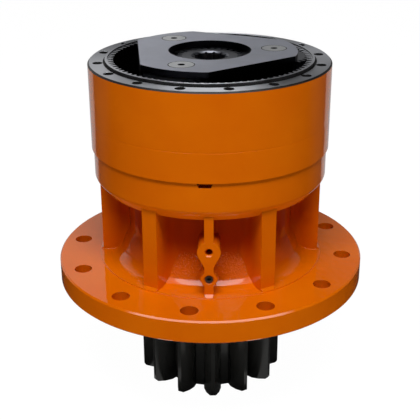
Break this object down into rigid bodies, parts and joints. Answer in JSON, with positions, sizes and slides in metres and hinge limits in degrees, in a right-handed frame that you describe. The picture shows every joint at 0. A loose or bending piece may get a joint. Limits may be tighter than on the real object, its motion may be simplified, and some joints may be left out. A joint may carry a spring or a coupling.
{
  "type": "swing gearbox",
  "caption": "Two-stage planetary swing gearbox: ribbed cast housing on a round bolting flange, ring gear with open motor end, output pinion below.",
  "frame": {"origin": "on the shaft axis, at the end face of the output pinion", "axes": "+Z along the shaft axis from the pinion to the motor end; -Y is the side with the grease port, the thin rib and the pry slot"},
  "size_m": [0.3999, 0.4, 0.4443],
  "materials": {
    "orange_paint": "gloss orange paint over a cast surface",
    "gear_steel": "machined and ground, lightly oiled",
    "black_oxide": "black oxide on forged steel",
    "ground_steel": "fine ground",
    "rubber": "matt",
    "bronze": "plain bearing bronze"
  },
  "bodies": {
    "gearcase": {"housing": "orange_paint", "ring_gear": "orange_paint", "dowel_pins": "ground_steel", "joint_o_ring": "rubber", "lower_bearing_cup": "ground_steel", "upper_bearing_cup": "ground_steel", "bearing_retainer": "gear_steel", "retainer_bolts": "black_oxide", "seal_case": "gear_steel", "seal_lip": "rubber", "seal_spring": "ground_steel", "drain_plug": "black_oxide"},
    "output_shaft": {"pinion_shaft": "black_oxide", "seal_sleeve": "ground_steel", "lower_bearing_cone": "ground_steel", "upper_bearing_cone": "ground_steel", "lock_washer": "ground_steel", "bearing_nut": "black_oxide", "carrier_2": "gear_steel", "carrier_2_pins": "ground_steel", "carrier_2_pin_locks": "gear_steel", "carrier_2_washers": "bronze", "shaft_end_plate": "gear_steel", "shaft_end_bolts": "black_oxide"},
    "lower_roller_set": {"lower_bearing_rollers": "ground_steel", "lower_bearing_cage": "gear_steel"},
    "upper_roller_set": {"upper_bearing_rollers": "ground_steel", "upper_bearing_cage": "gear_steel"},
    "planet_2a": {"planet_gear_2a": "gear_steel", "planet_rollers_2a": "ground_steel"},
    "planet_2b": {"planet_gear_2b": "gear_steel", "planet_rollers_2b": "ground_steel"},
    "planet_2c": {"planet_gear_2c": "gear_steel", "planet_rollers_2c": "ground_steel"},
    "upper_carrier": {"carrier_1": "gear_steel", "carrier_1_pins": "ground_steel", "carrier_1_pin_locks": "gear_steel", "carrier_1_washers": "bronze", "sun_gear_2": "gear_steel", "sun_2_snap_ring": "ground_steel", "sun_thrust_button": "bronze"},
    "planet_1a": {"planet_gear_1a": "gear_steel", "planet_rollers_1a": "ground_steel"},
    "planet_1b": {"planet_gear_1b": "gear_steel", "planet_rollers_1b": "ground_steel"},
    "planet_1c": {"planet_gear_1c": "gear_steel", "planet_rollers_1c": "ground_steel"},
    "sun_1": {"sun_gear_1": "gear_steel"}
  },
  "joints": [
    {"name": "output_spin", "type": "hinge", "parent": "gearcase", "child": "output_shaft", "pos_m": [0, 0, 0.2], "axis": [0, 0, 1], "continuous": true},
    {"name": "lower_roller_spin", "type": "hinge", "parent": "gearcase", "child": "lower_roller_set", "pos_m": [0, 0, 0.159], "axis": [0, 0, 1], "continuous": true},
    {"name": "upper_roller_spin", "type": "hinge", "parent": "gearcase", "child": "upper_roller_set", "pos_m": [0, 0, 0.266], "axis": [0, 0, 1], "continuous": true},
    {"name": "upper_carrier_spin", "type": "hinge", "parent": "gearcase", "child": "upper_carrier", "pos_m": [0, 0, 0.42], "axis": [0, 0, 1], "continuous": true},
    {"name": "sun_1_spin", "type": "hinge", "parent": "gearcase", "child": "sun_1", "pos_m": [0, 0, 0.42], "axis": [0, 0, 1], "continuous": true},
    {"name": "planet_2a_spin", "type": "hinge", "parent": "output_shaft", "child": "planet_2a", "pos_m": [0.06101, 0.04465, 0.356], "axis": [0, 0, 1], "continuous": true},
    {"name": "planet_2b_spin", "type": "hinge", "parent": "output_shaft", "child": "planet_2b", "pos_m": [-0.06917, 0.03051, 0.356], "axis": [0, 0, 1], "continuous": true},
    {"name": "planet_2c_spin", "type": "hinge", "parent": "output_shaft", "child": "planet_2c", "pos_m": [0.00817, -0.07516, 0.356], "axis": [0, 0, 1], "continuous": true},
    {"name": "planet_1a_spin", "type": "hinge", "parent": "upper_carrier", "child": "planet_1a", "pos_m": [0.07933, 0.00862, 0.42], "axis": [0, 0, 1], "continuous": true},
    {"name": "planet_1b_spin", "type": "hinge", "parent": "upper_carrier", "child": "planet_1b", "pos_m": [-0.04713, 0.06439, 0.42], "axis": [0, 0, 1], "continuous": true},
    {"name": "planet_1c_spin", "type": "hinge", "parent": "upper_carrier", "child": "planet_1c", "pos_m": [-0.0322, -0.07301, 0.42], "axis": [0, 0, 1], "continuous": true}
  ],
  "couplings": [
    {"joint": "lower_roller_spin", "follows": "output_spin", "ratio": 0.459},
    {"joint": "upper_roller_spin", "follows": "output_spin", "ratio": 0.458},
    {"joint": "upper_carrier_spin", "follows": "output_spin", "ratio": 5.1429},
    {"joint": "sun_1_spin", "follows": "output_spin", "ratio": 21.714},
    {"joint": "planet_2a_spin", "follows": "output_spin", "ratio": -2.6364},
    {"joint": "planet_2b_spin", "follows": "output_spin", "ratio": -2.6364},
    {"joint": "planet_2c_spin", "follows": "output_spin", "ratio": -2.6364},
    {"joint": "planet_1a_spin", "follows": "output_spin", "ratio": -14.914},
    {"joint": "planet_1b_spin", "follows": "output_spin", "ratio": -14.914},
    {"joint": "planet_1c_spin", "follows": "output_spin", "ratio": -14.914}
  ]
}
